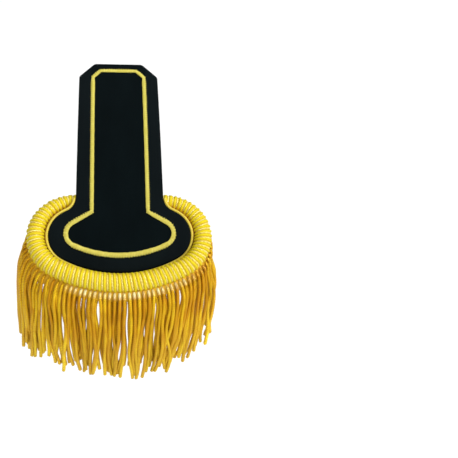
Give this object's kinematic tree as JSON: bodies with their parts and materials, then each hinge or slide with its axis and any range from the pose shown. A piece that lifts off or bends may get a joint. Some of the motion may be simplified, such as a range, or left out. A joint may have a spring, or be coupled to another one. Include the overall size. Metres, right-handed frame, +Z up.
{
  "type": "fringed epaulette",
  "caption": "Fringed dress epaulette: black velvet board with gold outline, a thick wrapped gold roll round its pad, hanging gold fringe and a plain bar pin under the strap.",
  "frame": {"origin": "underside of the board, at the centre of its oval pad, where the epaulette sits on the point of the shoulder", "axes": "+Z up as worn; X across the board from side to side; the fringed outer end faces -Y and the strap rises towards +Y and the collar"},
  "size_m": [0.137, 0.1527, 0.1695],
  "materials": {
    "velvet": "short pile velvet",
    "gold_stitching": "satin stitch",
    "gold_cord": "twisted cord",
    "gold_wrap": "glossy wound cord",
    "gold_fringe": "glossy twisted fringe",
    "pin_steel": "nickel plated"
  },
  "bodies": {
    "root": {"board": "velvet", "face_line": "gold_stitching", "edge_cord": "gold_cord", "crescent_roll": "gold_wrap", "fringe": "gold_fringe", "back_pin": "pin_steel"}
  },
  "joints": []
}
